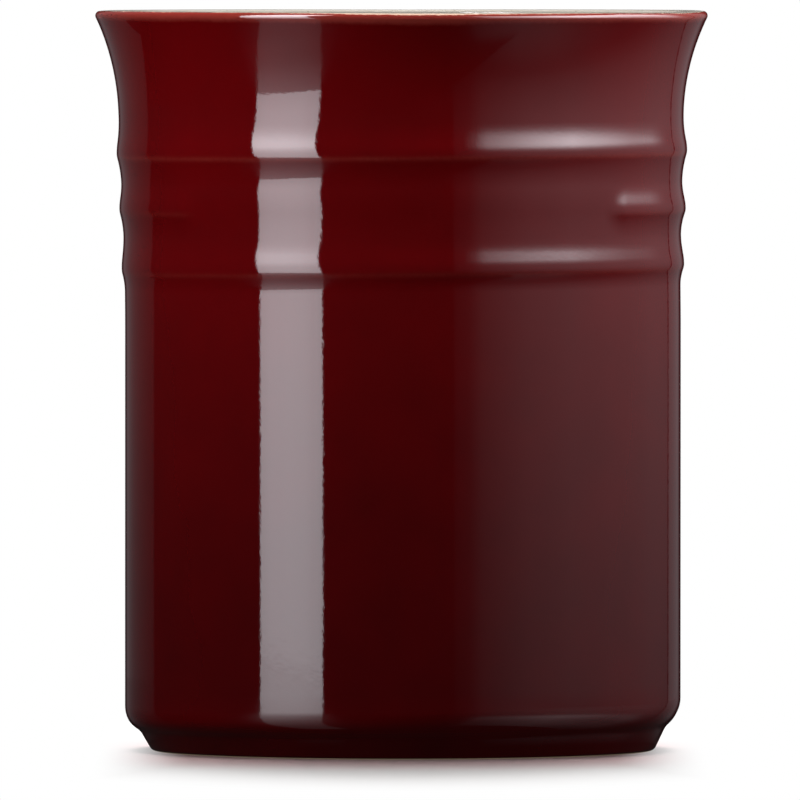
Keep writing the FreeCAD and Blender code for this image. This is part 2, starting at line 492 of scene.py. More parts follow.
    def outer_line(self) -> np.ndarray:
        """Draw the outside from the foot's edge up to the lip, without its ridges.

        Returns:
            Rows of radius and height.
        """
        foot = self.foot_bend(-self.foot_coat_angle, -self.foot_taper).points()
        cove, shoulder = (bend.points() for bend in self.foot_side())
        sweep = self.flare()
        wall_top = np.array([self.wall_radius, self.band_low])
        rows = math.ceil((self.neck_z - self.band_low) / RIDGE_STEP)
        band_z = np.linspace(self.band_low, self.neck_z, rows + 1)[:-1]
        steps = [ridge.plain(band_z - self.crest_z(ridge)) for ridge in self.ridges]
        band_r = self.neck_radius + sum(steps)
        lip = Bend(self.lip_r, self.lip_z, self.lip_edge, sweep.end - 180, self.join_angle)
        parts = [foot, run(foot[-1], cove[0]), cove[:-1], shoulder, run(shoulder[-1], wall_top)]
        return np.vstack([*parts, np.column_stack([band_r, band_z]), sweep.points()[:-1], lip.points()])

    def inner_line(self) -> np.ndarray:
        """Draw the inside from the lip's edge over the crown and down to the floor's centre.

        Returns:
            Rows of radius and height.
        """
        sweep = self.inner_flare()
        turn = self.crown_turn
        lip = Bend(self.lip_r, self.lip_z, self.lip_edge, self.join_angle, turn)
        crown = Bend(self.crown_r, self.height - self.crown_bow, self.crown_bow, turn, 180 - turn)
        inner = Bend(self.crown_r - self.crown_half, self.lip_z, self.lip_edge, 180 - turn, sweep.start)
        corner_r = self.bore_radius - self.floor_corner
        corner = Bend(corner_r, self.floor_z + self.floor_corner, self.floor_corner, 0, -90).points()
        flare = sweep.points()
        middle = np.array([0.0, self.floor_z])
        edge = [bend.points()[:-1] for bend in (lip, crown, inner)]
        wall = [flare, run(flare[-1], corner[0]), corner]
        return np.vstack([*edge, *wall, run(corner[-1], middle), middle])

    def recess_line(self) -> np.ndarray:
        """Draw the underside inside the foot ring.

        Returns:
            Rows of radius and height from the centre out to the ring.
        """
        corner_r = self.recess_radius - self.recess_corner
        corner_z = self.recess_depth - self.recess_corner
        corner = Bend(corner_r, corner_z, self.recess_corner, 90, 0).points()
        middle = np.array([0.0, self.recess_depth])
        return np.vstack([middle, run(middle, corner[0]), corner])

    def ring_line(self) -> np.ndarray:
        """Draw the bare foot ring.

        Returns:
            Rows of radius and height from the recess round to where the outer coat stops.
        """
        edge = self.ring_edge
        ring = Bend(self.recess_radius + edge, edge, edge, 180, 270).points()
        foot = self.foot_bend(-90, -self.foot_coat_angle).points()
        return np.vstack([ring, run(ring[-1], foot[0]), foot])


def grid_faces(index: np.ndarray) -> list[list[int]]:
    """Return the quads between neighbouring rows and columns of a grid of point numbers."""
    corners = [index[:-1, :-1], index[:-1, 1:], index[1:, 1:], index[1:, :-1]]
    return np.stack(corners, axis=-1).reshape(-1, 4).tolist()


def add_layer(mesh: bpy.types.Mesh, name: str, values: np.ndarray) -> None:
    """Keep a number for each of a mesh's points, for its material to read."""
    layer = mesh.attributes.new(name, "FLOAT", "POINT")
    layer.data.foreach_set("value", np.ascontiguousarray(values, dtype=np.float32).ravel())


def new_object(mesh: bpy.types.Mesh) -> bpy.types.Object:
    """Show a mesh in the scene.

    Args:
        mesh: the mesh, which gives the object its name.

    Returns:
        The new object.
    """
    shown = bpy.data.objects.new(mesh.name, mesh)
    bpy.context.scene.collection.objects.link(shown)
    return shown


def weld_axis(mesh: bpy.types.Mesh) -> None:
    """Join the points that lie together on the axis, and turn all faces outwards.

    Args:
        mesh: the mesh to mend.
    """
    work = bmesh.new()
    work.from_mesh(mesh)
    bmesh.ops.remove_doubles(work, verts=work.verts, dist=WELD)
    bmesh.ops.recalc_face_normals(work, faces=work.faces)
    work.to_mesh(mesh)
    work.free()


class Slot(Enum):
    """The record's material slots."""

    STONEWARE = "stoneware"
    DARK_RED = "dark_red_glaze"
    CREAM = "cream_glaze"


def new_material(name: str) -> tuple[bpy.types.Material, bpy.types.NodeTree]:
    """Start a material from an empty tree of nodes.

    Args:
        name: the material's name.

    Returns:
        The material and its tree.
    """
    material = bpy.data.materials.new(name)
    material.use_nodes = True
    material.node_tree.nodes.clear()
    return material, material.node_tree


@dataclass(frozen=True)
class Finish:
    """A fired surface; each kind paints its own colour and relief."""

    name: str
    ior: float
    roughness: tuple[float, float]  # over its smoothest and its dullest patches
    patch_mm: float  # size of those patches
    relief_mm: float  # depth of the relief

    def make(self) -> bpy.types.Material:
        """Put the colour, the gloss and the relief into one shader.

        Returns:
            The material that dresses a piece in this finish.
        """
        material, tree = new_material(self.name)
        place = add_node(tree, "ShaderNodeTexCoord").outputs["Object"]
        patch = add_node(tree, "ShaderNodeTexNoise", Vector=place, Scale=pattern_scale(self.patch_mm))
        smoothest, dullest = self.roughness
        dull = add_node(
            tree, "ShaderNodeMapRange", Value=patch.outputs[0], To_Min=smoothest, To_Max=dullest
        )
        height = self.relief(tree, place)
        bump = add_node(tree, "ShaderNodeBump", Strength=1.0, Distance=self.relief_mm * MM, Height=height)
        shader = add_node(
            tree,
            "ShaderNodeBsdfPrincipled",
            Base_Color=self.colour(tree, place),
            Roughness=dull.outputs[0],
            IOR=self.ior,
            Normal=bump.outputs[0],
        )
        add_node(tree, "ShaderNodeOutputMaterial", Surface=shader.outputs[0])
        return material

    def colour(self, tree: bpy.types.NodeTree, place: bpy.types.NodeSocket) -> bpy.types.NodeSocket:
        """Return the surface's colour at each place."""
        raise NotImplementedError

    def relief(self, tree: bpy.types.NodeTree, place: bpy.types.NodeSocket) -> bpy.types.NodeSocket:
        """Return the surface's relief at each place, as a multiple of its depth."""
        raise NotImplementedError


@dataclass(frozen=True)
class DarkRedGlaze(Finish):
    """Dark red gloss stoneware glaze, dipped and fired.

    The coat is a coloured glass, so the eye sees a deep wine red with mirror-like lights. It is darkest
    where the glaze ran thick, and it is drawn darker towards the bottom as painted shade. It is brick red
    where it drew thin off an edge, and in a line under each crest, where that red also lifts the shade as
    painted light. Along the lip it stops in a broken line with a bare clay edge. A faint orange peel
    frays the edges of the lights.
    """

    name: str = "dark_red_gloss_glaze"
    ior: float = 1.5
    roughness: tuple[float, float] = (0.02, 0.05)
    patch_mm: float = 12.0
    relief_mm: float = 0.006
    thick: str = "#580306"
    # deep red of pooled glaze and deeper clouds, also the painted shade towards the bottom
    deep_and_shaded: str = "#3a0305"
    thin: str = "#7b2a24"
    bare_edge: str = "#bf9e8a"
    cloud_mm: float = 14.0  # soft patches of deeper colour
    cloud_share: float = 0.45  # how much they deepen it
    pool_and_shade_share: float = 0.9  # how much the pool layer, pooled glaze and painted shade, deepens the colour
    depth_offset: float = -0.22  # takes off what a middling cloud adds, so that only deeper ones darken
    wave_mm: float = 7.0  # how the coat's upper edge wanders
    grain_mm: float = 0.9  # and how it is broken
    wander_mm: float = 0.5  # how far each of them moves the edge
    bare_band: tuple[float, float] = (0.45, 0.7)  # the coat starts this far below the lip's edge, in mm
    thin_band: tuple[float, float] = (1.8, 3.2)  # and grows to its full thickness over this
    peel_mm: float = 2.2  # orange peel of the fired surface
    fine_peel_mm: float = 0.6  # drawn this coarse to show as frayed edges of the lights
    fine_peel_share: float = 0.7  # of the broad one's depth

    def colour(self, tree: bpy.types.NodeTree, place: bpy.types.NodeSocket) -> bpy.types.NodeSocket:
        """Mix the colour from the mesh's lip, thin and pool layers, which also carry painted light and
        shade.

        Args:
            tree: the material's tree.
            place: the place on the piece.

        Returns:
            The colour.
        """
        lip, thin, pool = (
            add_node(tree, "ShaderNodeAttribute", {"attribute_name": layer}).outputs["Fac"]
            for layer in ("lip", "thin", "pool")
        )
        cloud, wave, grain = (
            add_node(
                tree, "ShaderNodeTexNoise", Vector=place, Scale=pattern_scale(size), Detail=detail
            ).outputs[0]
            for size, detail in ((self.cloud_mm, 3), (self.wave_mm, 1), (self.grain_mm, 2))
        )
        wander = add_node(tree, "ShaderNodeMath", SUM, in0=wave, in1=grain).outputs[0]
        below = add_node(
            tree, "ShaderNodeMath", SCALED_SUM, in0=wander, in1=self.wander_mm, in2=lip
        ).outputs[0]
        bare, near_lip = (
            add_node(
                tree,
                "ShaderNodeMapRange",
                SOFT_STEP,
                Value=below,
                From_Min=start,
                From_Max=end,
                To_Min=1.0,
                To_Max=0.0,
            ).outputs[0]
            for start, end in (self.bare_band, self.thin_band)
        )
        broken = add_node(tree, "ShaderNodeMath", PRODUCT, in0=thin, in1=wander).outputs[0]
        light = add_node(tree, "ShaderNodeMath", GREATER, in0=near_lip, in1=broken).outputs[0]
        # the pool layer darkens with the glaze's pooling and with painted shade towards the bottom
        run_and_shade_deep = add_node(
            tree, "ShaderNodeMath", SCALED_SUM, in0=pool, in1=self.pool_and_shade_share, in2=self.depth_offset
        ).outputs[0]
        deep = add_node(
            tree,
            "ShaderNodeMath",
            SCALED_SUM | {"use_clamp": True},
            in0=cloud,
            in1=self.cloud_share,
            in2=run_and_shade_deep,
        ).outputs[0]
        mixed = hex_to_linear(self.thick)
        for share, other in ((deep, self.deep_and_shaded), (light, self.thin), (bare, self.bare_edge)):
            mixed = add_node(
                tree, "ShaderNodeMix", COLOUR_MIX, in0=share, in6=mixed, in7=hex_to_linear(other)
            ).outputs[2]
        return mixed

    def relief(self, tree: bpy.types.NodeTree, place: bpy.types.NodeSocket) -> bpy.types.NodeSocket:
        """Lay a fine orange peel over a broad one.

        Args:
            tree: the material's tree.
            place: the place on the piece.

        Returns:
            The relief.
        """
        broad, fine = (
            add_node(tree, "ShaderNodeTexNoise", Vector=place, Scale=pattern_scale(size)).outputs[0]
            for size in (self.peel_mm, self.fine_peel_mm)
        )
        return add_node(
            tree, "ShaderNodeMath", SCALED_SUM, in0=fine, in1=self.fine_peel_share, in2=broad
        ).outputs[0]


@dataclass(frozen=True)
class CreamGlaze(Finish):
    """Pale cream gloss glaze, poured inside and fired.

    The eye sees a warm off-white, faintly clouded where the pour ran thicker, with a few brown specks of
    iron from the clay and soft lights.
    """

    name: str = "cream_gloss_glaze"
    ior: float = 1.5
    roughness: tuple[float, float] = (0.09, 0.15)
    patch_mm: float = 12.0
    relief_mm: float = 0.004
    pale: str = "#d2ccc3"
    warm: str = "#c6bdae"
    speck: str = "#8f7a5e"
    mottle_mm: float = 9.0  # clouds where the pour ran thicker
    speck_mm: float = 1.6  # spacing of the specks
    speck_reach: tuple[float, float] = (0.08, 0.16)  # share of the spacing over which a speck fades
    speck_share: float = 0.5  # how strongly a speck shows
    peel_mm: float = 3.0  # orange peel of the fired surface

    def colour(self, tree: bpy.types.NodeTree, place: bpy.types.NodeSocket) -> bpy.types.NodeSocket:
        """Mix the mottled cream and its specks.

        Args:
            tree: the material's tree.
            place: the place on the piece.

        Returns:
            The colour.
        """
        mottle = add_node(
            tree, "ShaderNodeTexNoise", Vector=place, Scale=pattern_scale(self.mottle_mm), Detail=3
        ).outputs[0]
        cells = add_node(tree, "ShaderNodeTexVoronoi", Vector=place, Scale=pattern_scale(self.speck_mm))
        middle, edge = self.speck_reach
        dot = add_node(
            tree,
            "ShaderNodeMapRange",
            SOFT_STEP,
            Value=cells.outputs["Distance"],
            From_Min=middle,
            From_Max=edge,
            To_Min=self.speck_share,
            To_Max=0.0,
        ).outputs[0]
        mixed = hex_to_linear(self.pale)
        for share, other in ((mottle, self.warm), (dot, self.speck)):
            mixed = add_node(
                tree, "ShaderNodeMix", COLOUR_MIX, in0=share, in6=mixed, in7=hex_to_linear(other)
            ).outputs[2]
        return mixed

    def relief(self, tree: bpy.types.NodeTree, place: bpy.types.NodeSocket) -> bpy.types.NodeSocket:
        """Return the slight orange peel of the fired surface."""
        return add_node(
            tree, "ShaderNodeTexNoise", Vector=place, Scale=pattern_scale(self.peel_mm)
        ).outputs[0]


@dataclass(frozen=True)
class BareStoneware(Finish):
    """Unglazed stoneware, wiped clean of glaze and fired.

    The eye sees a dry buff clay, gritty with darker grog and without any gloss.
    """

    name: str = "bare_fired_stoneware"
    ior: float = 1.5
    roughness: tuple[float, float] = (0.82, 0.94)
    patch_mm: float = 6.0
    relief_mm: float = 0.05
    buff: str = "#cbb898"
    grog: str = "#a98f6c"
    grain_mm: float = 0.7  # grit of the clay

    def colour(self, tree: bpy.types.NodeTree, place: bpy.types.NodeSocket) -> bpy.types.NodeSocket:
        """Mix the buff clay with its grog.

        Args:
            tree: the material's tree.
            place: the place on the piece.

        Returns:
            The colour.
        """
        patch, grain = (
            add_node(
                tree, "ShaderNodeTexNoise", Vector=place, Scale=pattern_scale(size), Detail=3
            ).outputs[0]
            for size in (self.patch_mm, self.grain_mm)
        )
        share = add_node(tree, "ShaderNodeMath", PRODUCT, in0=patch, in1=grain).outputs[0]
        buff, grog = hex_to_linear(self.buff), hex_to_linear(self.grog)
        return add_node(tree, "ShaderNodeMix", COLOUR_MIX, in0=share, in6=buff, in7=grog).outputs[2]

    def relief(self, tree: bpy.types.NodeTree, place: bpy.types.NodeSocket) -> bpy.types.NodeSocket:
        """Return the grit of the clay."""
        return add_node(
            tree, "ShaderNodeTexNoise", Vector=place, Scale=pattern_scale(self.grain_mm), Detail=3
        ).outputs[0]


@dataclass
class Crock:
    """The crock's four pieces: bare clay and three fired coats. Lengths are in millimetres."""

    form: CrockForm
    columns: int = 288  # even facets round the axis
    fine_columns: float = 0.3  # degrees between the columns at the ends of a broken ridge
    fine_reach: float = 6.0  # degrees to either side of such an end that have them
    dark_red: DarkRedGlaze = field(default_factory=DarkRedGlaze)
    cream: CreamGlaze = field(default_factory=CreamGlaze)
    clay: BareStoneware = field(default_factory=BareStoneware)
    line_half: float = 0.5  # half width of the thin line below each crest
    # how dark the glaze is drawn by height: partly where it ran thick, partly painted shade towards the
    # bottom
    pools_and_shade: Pairs = (
        (0, 1.0),
        (4.5, 0.93),
        (7.7, 0.5),
        (11, 0.9),
        (36, 0.78),
        (60, 0.56),
        (95, 0.17),
        (112, 0.12),
        (122, 0.06),
        (128, 0.14),
        (138, 0.04),
        (150, 0.0),
    )

    def build(self) -> list[bpy.types.Object]:
        """Make and dress every piece, hang it on the body and hide the part that it stands for.

        Returns:
            The pieces.
        """
        cream = self.cream.make()
        made = [
            (self.body(), "stoneware_body", Slot.STONEWARE, self.clay.make()),
            (self.outer_coat(), "outer_glaze", Slot.DARK_RED, self.dark_red.make()),
            (self.inner_coat(), "inner_glaze", Slot.CREAM, cream),
            (self.recess_coat(), "foot_recess_glaze", Slot.CREAM, cream),
        ]
        for piece, node, slot, material in made:
            piece.data.materials.append(material)
            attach(piece, BODY)
            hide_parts(node)
            LOG.info("%s stands for %s with %d faces", piece.name, node, len(piece.data.polygons))
        return [row[0] for row in made]

    def angles(self) -> np.ndarray:
        """Return even angles round the axis from the front, in radians."""
        return np.radians(np.linspace(0, 360, self.columns, endpoint=False))

    def finer_angles(self) -> np.ndarray:
        """Add finer columns at the ends of the ridges that stop short of the front.

        Returns:
            Angles round the axis from the front, in radians.
        """
        even = np.degrees(self.angles())
        gaps = [ridge.gap / 2 for ridge in self.form.ridges if ridge.gap]
        for end in [turn for half in gaps for turn in (half, 360 - half)]:
            low, high = end - self.fine_reach, end + self.fine_reach
            fine = np.arange(low, high + self.fine_columns / 2, self.fine_columns)
            even = np.concatenate([even[(even < low) | (even > high)], fine])
        return np.radians(np.sort(even))

    def outer_coat(self) -> bpy.types.Object:
        """Turn the dark red coat, with its ridges and the soft ends of the middle one.

        Returns:
            The piece, with layers for the way down from the lip, the thin lines with painted light under
                the crests, and the pooled glaze with painted shade towards the bottom.
        """
        form = self.form
        angles = self.finer_angles()
        rest = np.ones_like(angles)
        line = form.outer_line()
        hidden = sunk(line, form.coat)[::-HIDDEN_STRIDE]
        shown_r, shown_z, thin = self.ridged(line, angles)
        z = form.warped(np.vstack([shown_z, np.outer(hidden[:, 1], rest)]), angles)
        way = np.concatenate([[0], np.cumsum(np.linalg.norm(np.diff(line, axis=0), axis=1))])
        below = np.concatenate([way[-1] - way, np.full(len(hidden), way[-1])])
        rise = np.concatenate([line[:, 1], hidden[:, 1]])
        layers = {
            "lip": below[:, None] - form.dip(angles),
            "thin": np.vstack([thin, np.outer(np.zeros(len(hidden)), rest)]),
            # pooled glaze plus painted shade, darker towards the bottom
            "pool": np.outer(along(self.pools_and_shade, rise), rest),
        }
        r = np.vstack([shown_r, np.outer(hidden[:, 0], rest)])
        return self.turned("outer_coat", r, z, angles, layers)

    def ridged(self, line: np.ndarray, angles: np.ndarray) -> tuple[np.ndarray, np.ndarray, np.ndarray]:
        """Raise the ridges on the plain outside.

        Args:
            line: the plain outline.
            angles: the angles round the axis.

        Returns:
            Radius, height and thinness of the coat, partly painted light, for each outline point at each
            angle.
        """
        form = self.form
        z = line[:, 1]
        r = np.outer(line[:, 0], np.ones_like(angles))
        thin = np.zeros_like(r)
        for ridge in form.ridges:
            above = z - form.crest_z(ridge)
            share = ridge.share(above, angles, form.ridge_end)
            r += ridge.bump(above)[:, None] * share
            # the line under each crest is partly the glaze thinning, partly painted light lifting the
            # shade there
            edge = np.exp(-(((above + ridge.line_fall) / self.line_half) ** 2))
            thin += ridge.line_and_light_share * edge[:, None] * share
        return r, z[:, None] + form.lean(z, r, angles), thin

    def inner_coat(self) -> bpy.types.Object:
        """Return the cream coat over the lip's crown, the inside wall and the floor."""
        line = self.form.inner_line()
        return self.plain_turn(INNER_COAT, line, sunk(line, self.form.coat)[::-HIDDEN_STRIDE])

    def recess_coat(self) -> bpy.types.Object:
        """Return the cream coat on the underside, inside the foot ring."""
        line = self.form.recess_line()
        return self.plain_turn("recess_coat", line, sunk(line, self.form.coat)[::-1])

    def body(self) -> bpy.types.Object:
        """Turn the clay, which shows only on the foot ring.

        Returns:
            The piece.
        """
        form = self.form
        recess = sunk(form.recess_line(), form.coat)
        outer = sunk(form.outer_line(), form.coat)[::HIDDEN_STRIDE]
        inner = sunk(form.inner_line(), form.coat)[::HIDDEN_STRIDE]
        middle = np.array([0.0, form.floor_z - form.coat])
        return self.plain_turn("clay_body", recess, form.ring_line(), outer, inner, middle)

    def plain_turn(self, name: str, *lines: np.ndarray) -> bpy.types.Object:
        """Turn a piece that is the same all the way round.

        Args:
            name: the piece's name.
            lines: its outline in parts, from the axis round to the axis.

        Returns:
            The piece.
        """
        angles = self.angles()
        outline = np.vstack(lines)
        r, height = (np.outer(column, np.ones_like(angles)) for column in outline.T)
        return self.turned(name, r, self.form.warped(height, angles), angles, {})

    def turned(
        self, name: str, r: np.ndarray, z: np.ndarray, angles: np.ndarray, layers: dict[str, np.ndarray]
    ) -> bpy.types.Object:
        """Make a smooth closed mesh from an outline turned about the axis.

        Args:
            name: the piece's name.
            r: radius of each outline point at each angle, in millimetres.
            z: height of each outline point at each angle, in millimetres.
            angles: the angles round the axis, from the front towards the right.
            layers: a number for each outline point at each angle, by layer name.

        Returns:
            The new piece.
        """
        x = r * np.sin(angles) + self.form.drift(z)
        points = np.stack([x, -r * np.cos(angles), z], axis=-1).reshape(-1, 3) * MM
        index = np.arange(r.size).reshape(r.shape)
        index = np.column_stack([index, index[:, 0]])
        if r[0].any():
            index = np.vstack([index, index[:1]])
        mesh = bpy.data.meshes.new(name)
        mesh.from_pydata(points.tolist(), [], grid_faces(index))
        for layer, values in layers.items():
            add_layer(mesh, layer, values)
        weld_axis(mesh)
        mesh.shade_smooth()
        mesh.set_sharp_from_angle(angle=math.radians(SHARP_EDGE))
        return new_object(mesh)


def level_sheet(
    name: str, low: tuple[float, float], high: tuple[float, float], z: float = 0.0
) -> bpy.types.Mesh:
    """Make a level sheet of one face.

    Args:
        name: the mesh's name.
        low: x and y of its left front corner.
        high: x and y of its right back corner.
        z: its height.

    Returns:
        The mesh.
    """
    (left, front), (right, back) = low, high
    corners = [(left, front, z), (right, front, z), (right, back, z), (left, back, z)]
    mesh = bpy.data.meshes.new(name)
    mesh.from_pydata(corners, [], [(0, 1, 2, 3)])
    return mesh


def seen_rays(tree: bpy.types.NodeTree) -> bpy.types.NodeSocket:
    """Tell the rays that see the surround from those that only gather its light.

    Args:
        tree: the tree that asks.

    Returns:
        1 for rays from the eye, off gloss or through glass, and 0 for the rest.
    """
    rays = add_node(tree, "ShaderNodeLightPath").outputs
    seen = rays["Is Camera Ray"]
    for other in ("Is Glossy Ray", "Is Transmission Ray"):
        seen = add_node(tree, "ShaderNodeMath", CAPPED_SUM, in0=seen, in1=rays[other]).outputs[0]
    return seen


@dataclass(frozen=True)
class MattWhiteFloor:
    """Matt white paper that keeps the crock's shadow and turns plain white away from it.

    Lengths are in metres.
    """

    half: float = 3.0
    white: str = "#f4f3f2"
    painted_bounce: str = "#f4d5d5"  # painted red bounce light that the glaze would cast on it
    clear: tuple[float, float] = (0.12, 0.215)  # it turns to plain white over these radii
    stretch: float = 2.4  # those radii are this much shorter to the sides
    side_clear: tuple[float, float] = (0.042, 0.062)  # and over these distances to either side
    painted_bounce_reach: tuple[float, float] = (0.05, 0.12)  # the painted red bounce light fades over these radii

    def build(self) -> None:
        """Lay the floor."""
        mesh = level_sheet("floor", (-self.half, -self.half), (self.half, self.half))
        mesh.materials.append(self.make())
        floor = new_object(mesh)
        floor.visible_glossy = False
        floor.visible_diffuse = False

    def make(self) -> bpy.types.Material:
        """Mix matt paper and plain white.

        Returns:
            The material.
        """
        material, tree = new_material("matt_white_paper")
        place = add_node(tree, "ShaderNodeNewGeometry").outputs["Position"]
        oval = add_node(
            tree, "ShaderNodeVectorMath", PRODUCT, in0=place, in1=(self.stretch, 1, 1)
        ).outputs[0]
        reach, far = (
            add_node(tree, "ShaderNodeVectorMath", LENGTH, in0=spot).outputs["Value"]
            for spot in (place, oval)
        )
        across = add_node(tree, "ShaderNodeSeparateXYZ", in0=place).outputs["X"]
        aside = add_node(tree, "ShaderNodeMath", {"operation": "ABSOLUTE"}, in0=across).outputs[0]
        fades = ((far, self.clear), (aside, self.side_clear), (reach, self.painted_bounce_reach))
        clear, beside, cast = (
            add_node(
                tree, "ShaderNodeMapRange", SOFT_STEP, Value=way, From_Min=low, From_Max=high
            ).outputs[0]
            for way, (low, high) in fades
        )
        away = add_node(tree, "ShaderNodeMath", GREATER, in0=clear, in1=beside).outputs[0]
        share = add_node(tree, "ShaderNodeMath", PRODUCT, in0=away, in1=seen_rays(tree)).outputs[0]
        painted_bounce, white = hex_to_linear(self.painted_bounce), hex_to_linear(self.white)
        # painted light: the floor is tinted red near the crock as bounce light from the glaze
        colour = add_node(tree, "ShaderNodeMix", COLOUR_MIX, in0=cast, in6=painted_bounce, in7=white).outputs[2]
        matt = add_node(tree, "ShaderNodeBsdfDiffuse", Color=colour).outputs[0]
        plain = add_node(tree, "ShaderNodeEmission", Color=hex_to_linear(WHITE), Strength=1.0).outputs[0]
        shader = add_node(tree, "ShaderNodeMixShader", in0=share, in1=matt, in2=plain).outputs[0]
        add_node(tree, "ShaderNodeOutputMaterial", Surface=shader)
        return material


def seen_by_gloss_only(card: bpy.types.Object) -> None:
    """Hide a card from everything but reflections, and keep it apart from the crock.

    Args:
        card: the card, or the table.
    """
    card.visible_camera = False
    card.visible_diffuse = False
    card.visible_transmission = False
    card.visible_volume_scatter = False
    card.visible_shadow = False


@dataclass(frozen=True)
class PolishedDarkTable:
    """Dark lacquered board: the glaze mirrors the lights in it at a slant, and it is dull by the foot as
    painted shade for the crock's shadow, with a faint painted glow there.

    Lengths are in metres.
    """

    left: float = 3.0
    right: float = 0.16
    depth: float = 3.0
    drop: float = 0.0004  # of its face below the floor's
    lacquer: str = "#050505"
    roughness: float = 0.4
    sheen: float = 0.15  # strength of its dull reflection away from the foot
    coat_roughness: float = 0.02
    coat_ior: float = 1.31
    glow: float = 0.012  # painted light: a faint glow of the board under the foot
    unshaded_polish: tuple[float, float] = (0.054, 0.068)  # the polish comes in over these radii; the dull patch inside is painted shade for the crock's shadow

    def build(self) -> None:
        """Lay the table."""
        low, high = (-self.left, -self.depth), (self.right, self.depth)
        mesh = level_sheet("gloss_table", low, high, -self.drop)
        mesh.materials.append(self.make())
        seen_by_gloss_only(new_object(mesh))

    def make(self) -> bpy.types.Material:
        """Bring in the polish away from the foot, leaving painted shade and a painted glow by it.

        Returns:
            The material.
        """
        material, tree = new_material("polished_dark_lacquer")
        place = add_node(tree, "ShaderNodeNewGeometry").outputs["Position"]
        reach = add_node(tree, "ShaderNodeVectorMath", LENGTH, in0=place).outputs["Value"]
        low, high = self.unshaded_polish
        # by the foot: no polish or sheen as painted shade, and a faint glow as painted light
        unshaded_polish, sheen, pale = (
            add_node(
                tree,
                "ShaderNodeMapRange",
                Value=reach,
                From_Min=low,
                From_Max=high,
                To_Min=by_foot,
                To_Max=outside,
            ).outputs[0]
            for by_foot, outside in ((0.0, 1.0), (0.0, self.sheen), (self.glow, 0.0))
        )
        shader = add_node(
            tree,
            "ShaderNodeBsdfPrincipled",
            Base_Color=hex_to_linear(self.lacquer),
            Roughness=self.roughness,
            Specular_IOR_Level=sheen,
            Coat_Weight=unshaded_polish,
            Coat_Roughness=self.coat_roughness,
            Coat_IOR=self.coat_ior,
            Emission_Strength=pale,
        )
        add_node(tree, "ShaderNodeOutputMaterial", Surface=shader.outputs[0])
        return material


@dataclass(frozen=True)
class CardGlow:
    """Lit white card: an even, slightly cool light, as strong as the mesh's glow layer says."""

    name: str = "lit_white_card"
    tint: str = "#fcf9ff"

    def make(self) -> bpy.types.Material:
        """Make the one material that all cards share, or find it.

        Returns:
            The material.
        """
        if self.name in bpy.data.materials:
            return bpy.data.materials[self.name]
        material, tree = new_material(self.name)
        glow = add_node(tree, "ShaderNodeAttribute", {"attribute_name": "glow"}).outputs["Fac"]
        shader = add_node(tree, "ShaderNodeEmission", Color=hex_to_linear(self.tint), Strength=glow)
        add_node(tree, "ShaderNodeOutputMaterial", Surface=shader.outputs[0])
        return material


def hang_card(mesh: bpy.types.Mesh, glow: np.ndarray) -> None:
    """Hang a mesh in the studio as a lit card.

    Args:
        mesh: the card's mesh.
        glow: how strongly it shines at each of its points.
    """
    add_layer(mesh, "glow", glow)
    mesh.materials.append(CardGlow().make())
    seen_by_gloss_only(new_object(mesh))


@dataclass(frozen=True)
class Lobe:
    """One part of a card's glow: a share at each azimuth times a glow at each height.

    Azimuths are in degrees from the camera's side, positive to the right. Heights are in metres.
    """

    azimuths: Pairs
    heights: Pairs

    def glow(self, turn: np.ndarray, rise: np.ndarray) -> np.ndarray:
        """Return the glow on a grid of heights and azimuths."""
        return np.outer(along(self.heights, rise), along(self.azimuths, turn))


@dataclass(frozen=True)
class Card:
    """A curved reflector card round the crock that only its gloss sees; its lobes add up."""

    name: str
    distances: Pairs  # from the crock's axis at each azimuth
    lobes: tuple[Lobe, ...]
    leans: Pairs = ((0, 0),)  # degrees by which it leans sideways at each height
    turn_step: float = 2.0  # most degrees between its columns
    rise_step: float = 0.02  # most metres between its rows

    def build(self) -> None:
        """Bend the card round the crock and hang it."""
        marks = np.concatenate([np.array(lobe.azimuths)[:, 0] for lobe in self.lobes])
        levels = np.concatenate([np.array(lobe.heights)[:, 0] for lobe in self.lobes])
        turn = np.union1d(np.arange(marks.min(), marks.max(), self.turn_step), marks)
        rise = np.union1d(np.arange(levels.min(), levels.max(), self.rise_step), levels)
        angle = np.radians(turn + along(self.leans, rise)[:, None])
        level = np.outer(rise, np.ones_like(turn))
        away = along(self.distances, turn)
        points = np.stack([away * np.sin(angle), -away * np.cos(angle), level], axis=-1)
        mesh = bpy.data.meshes.new(self.name)
        faces = grid_faces(np.arange(angle.size).reshape(angle.shape))
        mesh.from_pydata(points.reshape(-1, 3).tolist(), [], faces)
        hang_card(mesh, sum(lobe.glow(turn, rise) for lobe in self.lobes))


STRIP_LIGHT = Card(
    "strip_light",
    distances=((-58.8, 0.66), (-31.5, 0.53)),
    lobes=(
        Lobe(
            azimuths=((-58.8, 0.86), (-54, 0.97), (-46, 1), (-39, 0.98), (-31.5, 0.85)),
            heights=(
                (-0.01, 5.8),
                (0.08, 7.2),
                (0.14, 7.7),
                (0.185, 9.0),
                (0.255, 12.4),
                (0.31, 12.2),
                (0.47, 20.0),
                (1.2, 24.0),
            ),
        ),
    ),
    leans=((0.05, 0), (0.12, -0.6), (0.2, -1.8), (0.3, -3.0), (0.4, -4.5), (0.5, -5.8), (0.6, -6.8)),
)

